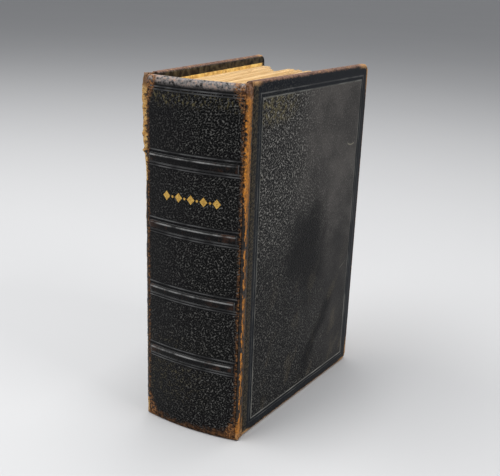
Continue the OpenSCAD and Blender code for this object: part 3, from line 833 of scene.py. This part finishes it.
def joint_path(s):
    """The joint leather's outer surface, from under the spine's edge to under the cover's."""
    corners = ((0, SPINE_HALF - 0.6, 0.22), (.6, SPINE_HALF - .05, 0.12), (.95, HALF_T - .12, 0.32),
               (1.4, HALF_T - 0.02, 0.75), (2.0, HALF_T, 1.4), (4.0, HALF_T, JOINT_W - 0.6),
               (4.75, HALF_T - .12, JOINT_W + .1), (JOINT_LENGTH, HALF_T - .4, JOINT_W + .7))
    along, corner_x, corner_y = zip(*corners)
    return np.interp(s, along, corner_x), np.interp(s, along, corner_y)


def joint_wear(y, z, side):
    """How far the leather is worn through to its core, from 0 to 1, and how deep it is cracked."""
    seed = 31 if side == "front" else 57
    lower = 1 - smooth(z + 7 * rough(z, 0, 9, seed + 5), 82, 97)
    left = 0.16 + 0.32 * lower + 0.30 * (rough(z, 0, 3.5, seed) + rough(z, 0, 0.9, seed + 1))
    right = 3.25 - 0.25 * lower + 0.40 * rough(z, 0, 5.0, seed + 2) + 0.35 * rough(z, 0, 1.3, seed + 3)
    worn = smooth(y - left, -0.12, 0.12) * smooth(right - y, -0.12, 0.12)
    patch = rough(y * 2.2, z * 0.45, 1.6, seed + 4)
    worn *= 1 - smooth(patch, 0.12 - 0.12 * lower, 0.24 - 0.12 * lower) * (0.35 + 0.65 * lower)
    crack_y = 2.05 + 0.5 * rough(z, 0, 7, seed + 6) + 0.25 * rough(z, 0, 1.6, seed + 7)
    crack = bump(y - crack_y, 0.34) * (0.35 + 0.65 * smooth(rough(z, 0, 4, seed + 8), -.3, .2))
    crack *= 1 - smooth(z, 121, 126)
    ends = np.abs(z - MIDDLE_Z) + 3 * rough(y * 2, z, 2.0, seed + 9)
    return np.maximum(worn * (1 - crack), smooth(ends, 56, 62)), crack


def joint_leather(side, material):
    """The strip of leather that bends at a joint, worn through to its tan core."""
    s, z = np.meshgrid(np.linspace(0, JOINT_LENGTH, 23), np.linspace(0.35, BOOK_H - 0.45, 440))
    x, y = joint_path(s)
    worn, crack = joint_wear(y, z, side)
    bare = smooth(y, 0.3, 0.8) * (1 - smooth(y, JOINT_W - .5, JOINT_W + .1))
    sink = 0.10 * worn + 0.26 * crack + 0.09 * rough(y * 2, z, 1.1, 3) + 0.05 * rough(y * 2, z, .5, 4)
    sink = bare * sink
    # the leather has lifted off the joint, most of all at the back near the head
    lifted = {"front": 0.42 + 0.1 * smooth(z, 85, 100), "back": 0.55 + 1.25 * smooth(z, 98, 112)}[side]
    lifted = lifted * (1 + 0.35 * rough(z, 0, 7, 41) + 0.2 * rough(z, 0, 1.5, 42))
    sink -= lifted * smooth(y, 0.1, 0.6) * (1 - smooth(y, 0.9, JOINT_W - .2))
    if side == "back":
        knob = bump(z - 104.4, 1.5) * bump(y - 0.9, 1.3)
        sink -= 1.1 * knob * smooth(rough(y * 3, z * 2, 1.0, 8), -.6, .4)
    # the head of the strip rolls over with the spine's cap
    over = smooth(z, BOOK_H - 3.5, BOOK_H - 0.45)
    x = x - 1.1 * over ** 2 * bare - sink
    at = np.stack([y, z, worn], -1)
    bend = (0.3, JOINT_W - 0.3)
    x, y = on_side(side, x, y, HINGE, FRONT_OPEN * smooth(y, *bend))
    obj = make(f"{side}_joint_strip", np.stack([x, y, z], -1), quads(*x.shape), at, material,
               side == "back", 0.28)
    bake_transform(obj)
    stands_for(obj, None, "worn_leather", f"{side}_joint_leather")


def twisted_cord(name, node, z, centre, r, half, material, flat=0.0):
    """A three-ply cord laid across the spine, pressed flat where it lies below the radius flat."""
    xs = np.linspace(-half, half, round(half * 5))
    x, a = np.meshgrid(xs, np.linspace(0, 2 * math.pi, 19)[:-1])
    radius = r * (0.90 + 0.10 * np.cos(PLIES * (a + x * PLY_TWIST)))
    out = np.maximum(centre + radius * np.cos(a), flat)
    points = spine_place(x, out, z + radius * np.sin(a))
    obj = make(name, points, tube_faces(*x.shape), np.stack([x, a * r, z + 0 * x], -1), material, True)
    stands_for(obj, "text_block", "cord", node)


def endband(name, node, z, material):
    """Silk wound tightly over a cord, with the ridges of its turns."""
    half, turn_w, r = HALF_T - 4.3, 0.42, 0.72
    turns = round(2 * half / turn_w)
    x, a = np.meshgrid(np.linspace(-half, half, turns * 4 + 1), np.linspace(0, 2 * math.pi, 13)[:-1])
    count = (x + half) / turn_w + a / (2 * math.pi)
    radius = r - 0.09 * (1 - np.abs(np.sin(math.pi * count))) ** 2
    points = spine_place(x, FOLD_R - 0.95 + radius * np.cos(a), z + radius * np.sin(a))
    obj = make(name, points, tube_faces(*x.shape), np.stack([count, a, x], -1), material, True)
    stands_for(obj, "text_block", "endband", node)


# --- leaves
def fold_x(i):
    """Where the fold of gathering i lies across the spine, counted from the back cover."""
    return (i + 0.5) * PITCH - BLOCK_HALF


def fold_y(i):
    return SPINE_AXIS - math.sqrt(FOLD_R**2 - fold_x(i)**2) + FOLD_T / 2


def fore_x(i):
    """Where gathering i lies at the fore-edge: the leaves part into two heaps, with a gap between."""
    step = FORE_T + 0.12
    if i < SPLIT:
        return (i + 0.5) * step - BLOCK_HALF
    return BLOCK_HALF - FORE_SLACK - (GATHERINGS - i - 0.5) * step


def group(i):
    """How many packets lie between gathering i and the nearer cover."""
    return min(i, GATHERINGS - 1 - i) // 2


def leaf_body(i):
    if group(i) >= len(LEAF_RATIOS):
        return "text_block"
    return f"{'front' if i >= GATHERINGS / 2 else 'back'}_leaves_{group(i) + 1}"


def gathering(i, material):
    """A folded gathering as a stack of thin leaves whose heads and fore-edges don't quite line up."""
    end_y = FORE_EDGE + FORE_STEP[i]
    points, faces, at = [], [], []
    ts = np.concatenate([[0, .004, .012], np.linspace(.03, .97, 13), [.985, .995, 1]])
    t, zt = np.meshgrid(ts, np.linspace(0, 1, 13))
    rows, cols = t.shape
    n = rows * cols
    rim = (list(range(cols)) + [r * cols + cols - 1 for r in range(1, rows)]
           + [(rows - 1) * cols + j for j in range(cols - 2, -1, -1)]
           + [r * cols for r in range(rows - 2, 0, -1)])
    for k in range(SLABS):
        o0, o1 = k / SLABS - 0.5, (k + 1) / SLABS - 0.5
        head = LEAF_Z + LEAF_H + HEAD_STEP[i] + rng.uniform(-.16, .16)
        tail = LEAF_Z + rng.uniform(0, .25)
        end = end_y + rng.uniform(-.5, .3)
        start = FOLD_T / 2 * (1 - math.sqrt(max(0, 1 - (o0 + o1)**2)))
        tilt, sway, phase = rng.uniform(-.25, .25), rng.uniform(.1, .3), rng.uniform(0, 6)
        y0 = fold_y(i) - FOLD_T / 2 + start
        y = y0 + (end - y0) * t
        y = y + sway * np.sin(phase + 3 * zt) * smooth(t, .8, 1) * 0.6
        z = tail + (head - tail) * zt + tilt * t * smooth(zt, .5, 1)
        z = z + 0.10 * np.sin(phase + 5 * t) * smooth(zt, .9, 1)
        thick = FOLD_T + (FORE_T - FOLD_T) * t
        mid = fold_x(i) + (fore_x(i) - fold_x(i)) * t
        wave = 0.035 * np.sin(phase + 4 * t + 3 * zt)
        for o, apart in ((o0, 0.02), (o1, -0.02)):
            points.append(np.stack([mid + thick * o + wave + apart, y, z], -1).reshape(-1, 3))
            at.append(np.stack([thick * o + i * 7.3, y, z], -1).reshape(-1, 3))
        base = 2 * n * k
        faces += [tuple(base + q for q in f[::-1]) for f in quads(rows, cols)]
        faces += [tuple(base + n + q for q in f) for f in quads(rows, cols)]
        faces += [(base + a, base + b, base + n + b, base + n + a) for a, b in zip(rim, rim[1:] + rim[:1])]
    points, at = np.concatenate(points), np.concatenate(at)
    if group(i) < len(LEAF_RATIOS) and i >= GATHERINGS / 2:
        first = GATHERINGS - 1 - group(i) * 2
        centre = (abs(fold_x(first)) + FOLD_T / 2, fold_y(first) - FOLD_T / 2)
        angle = FRONT_OPEN * LEAF_RATIOS[group(i)]
        points[:, 0], points[:, 1] = turned(points[:, 0], points[:, 1], centre, angle)
    obj = make(f"leaves_{i + 1:02d}", points, faces, at, material)
    obj.data.polygons.foreach_set("use_smooth", [False] * len(obj.data.polygons))
    stands_for(obj, leaf_body(i), "leaf_paper", f"gathering_{i + 1:02d}")


# --- the book
covers = {s: cover_material(f"black_morocco_{s}", s) for s in ("front", "back")}
endpaper = endpaper_material()
joints = {
    "front": joint_material("joint_worn_orange", ORANGE, (0.30, 0.12, 0.025), (0.11, 0.065, 0.028)),
    "back": joint_material("joint_worn_golden", (0.62, 0.40, 0.14), (0.42, 0.21, 0.05), (0.30, 0.15, 0.05)),
}
for n, s in enumerate(("front", "back")):
    cover_leather(s, covers[s], 3 + 40 * n)
    pastedown(s, endpaper, 9 + n)
    flyleaf(s, endpaper, 15 + n)
    joint_leather(s, joints[s])
spine_leather(spine_material())
silk = endband_material()
endband("head_endband", "headband", LEAF_Z + LEAF_H + 1.1, silk)
endband("tail_endband", "tailband", LEAF_Z - 0.85, silk)
leaf_paper = leaf_material()
for n in range(GATHERINGS):
    gathering(n, leaf_paper)

millboard = plain_material("millboard_grey", (0.16, 0.12, 0.08), (0.30, 0.24, 0.16), 0.8)
card = plain_material("spine_card", (0.22, 0.17, 0.10), (0.38, 0.30, 0.19), 0.9)
tube_paper = plain_material("hollow_paper", (0.30, 0.21, 0.10), (0.50, 0.37, 0.20), 0.7)
cord = cord_material()
for n in range(BANDS):
    twisted_cord(f"band_ply_cord_{n + 1}", f"band_cord_{n + 1}", BAND_TOP - BAND_H / 2 - n * BAND_PITCH,
                 SPINE_R - 0.6, 0.92, CORD_HALF, cord, SPINE_R - SPINE_WALL)
for end, z in (("headcap", HEAD_CAP_Z), ("tailcap", TAIL_CAP_Z)):
    twisted_cord(f"{end}_ply_cord", f"{end}_cord", z, CAP_AT, 0.72, SPINE_HALF - 0.5, cord)
thread = plain_material("linen_thread", (0.55, 0.46, 0.32), (0.82, 0.74, 0.58), 3.0)
gold = plain_material("worn_gilt", (0.38, 0.20, 0.04), (0.86, 0.56, 0.14), 1.6, roughness=0.38, depth=0.04,
                      metal=0.75)
tape = woven_material("linen_tape", (0.55, 0.50, 0.40), (0.80, 0.76, 0.66), 0.5)
mull = woven_material("mull_cloth", (0.45, 0.40, 0.31), (0.74, 0.69, 0.58), 0.8)
kept = {"front_board": millboard, "back_board": millboard, "spine_inlay": card, "hollow_tube": tube_paper,
        "mull_lining": mull, "sewing_thread": thread, "spine_ornament": gold}
kept.update({f"sewing_tape_{n}": tape for n in (1, 2, 3)})
for node, material in kept.items():
    obj = frame["nodes"][node]
    for slot in obj.material_slots:
        slot.link = "OBJECT"
        slot.material = material


# --- floor, light and camera
def floor():
    g = Graph("pale_floor")
    place = g.tree.nodes.new("ShaderNodeTexCoord").outputs["Object"]
    g.set(Base_Color=g.mix(g.noise(place, 3.0, 3.0), (0.50, 0.50, 0.505), (0.53, 0.53, 0.53)),
          Roughness=0.9, Specular_IOR_Level=0.1)
    mesh = bpy.data.meshes.new("floor")
    half = 40.0  # metres
    corners = [(-half, -half, 0), (half, -half, 0), (half, half, 0), (-half, half, 0)]
    mesh.from_pydata(corners, [], [(0, 1, 2, 3)])
    mesh.materials.append(g.material)
    placed("floor", mesh)


def light(name, place, aim, size, watts):
    data = bpy.data.lights.new(name, "AREA")
    data.shape, data.size, data.size_y = "RECTANGLE", *size
    data.energy = watts
    obj = placed(name, data)
    obj.location = place
    obj.rotation_mode = "QUATERNION"
    obj.rotation_quaternion = (Vector(aim) - Vector(place)).to_track_quat("-Z", "Y")


def camera():
    """The view of the spine and the front cover, turned, looking down and slightly rolled."""
    yaw, down, roll = (math.radians(a) for a in (CAMERA_TURN, CAMERA_DOWN, CAMERA_ROLL))
    right = Vector((math.cos(yaw), math.sin(yaw), 0))
    ahead = Vector((-math.sin(yaw) * math.cos(down), math.cos(yaw) * math.cos(down), -math.sin(down)))
    up = right.cross(ahead)
    across = right * math.cos(roll) + up * math.sin(roll)
    upright = up * math.cos(roll) - right * math.sin(roll)
    data = bpy.data.cameras.new("camera")
    data.sensor_width, data.lens = SENSOR, CAMERA_LENS
    data.clip_start = 0.01
    place = Matrix.Identity(4)
    for k, axis in enumerate((across, upright, -ahead)):
        place.col[k] = (*axis, 0)
    place.col[3] = (*CAMERA_AT, 1)
    obj = placed("camera", data)
    obj.matrix_world = place
    bpy.context.scene.camera = obj


floor()
light("key_over_left", place=(-0.45, -0.34, 0.84), aim=(0, 0, 0.07), size=(0.85, 0.40), watts=7.6)
light("fill_right", place=(0.75, -0.05, 0.55), aim=(0, 0, 0.07), size=(0.4, 0.5), watts=3.0)
light("top", place=(0.0, 0.10, 0.9), aim=(0, 0, 0.1), size=(0.4, 0.4), watts=4.6)
world = bpy.data.worlds.new("studio")
world.use_nodes = True
sky = world.node_tree.nodes["Background"]
sky.inputs["Color"].default_value, sky.inputs["Strength"].default_value = (0.86, 0.88, 0.92, 1), 0.42
bpy.context.scene.view_settings.view_transform = "Standard"
bpy.context.scene.world = world
camera()
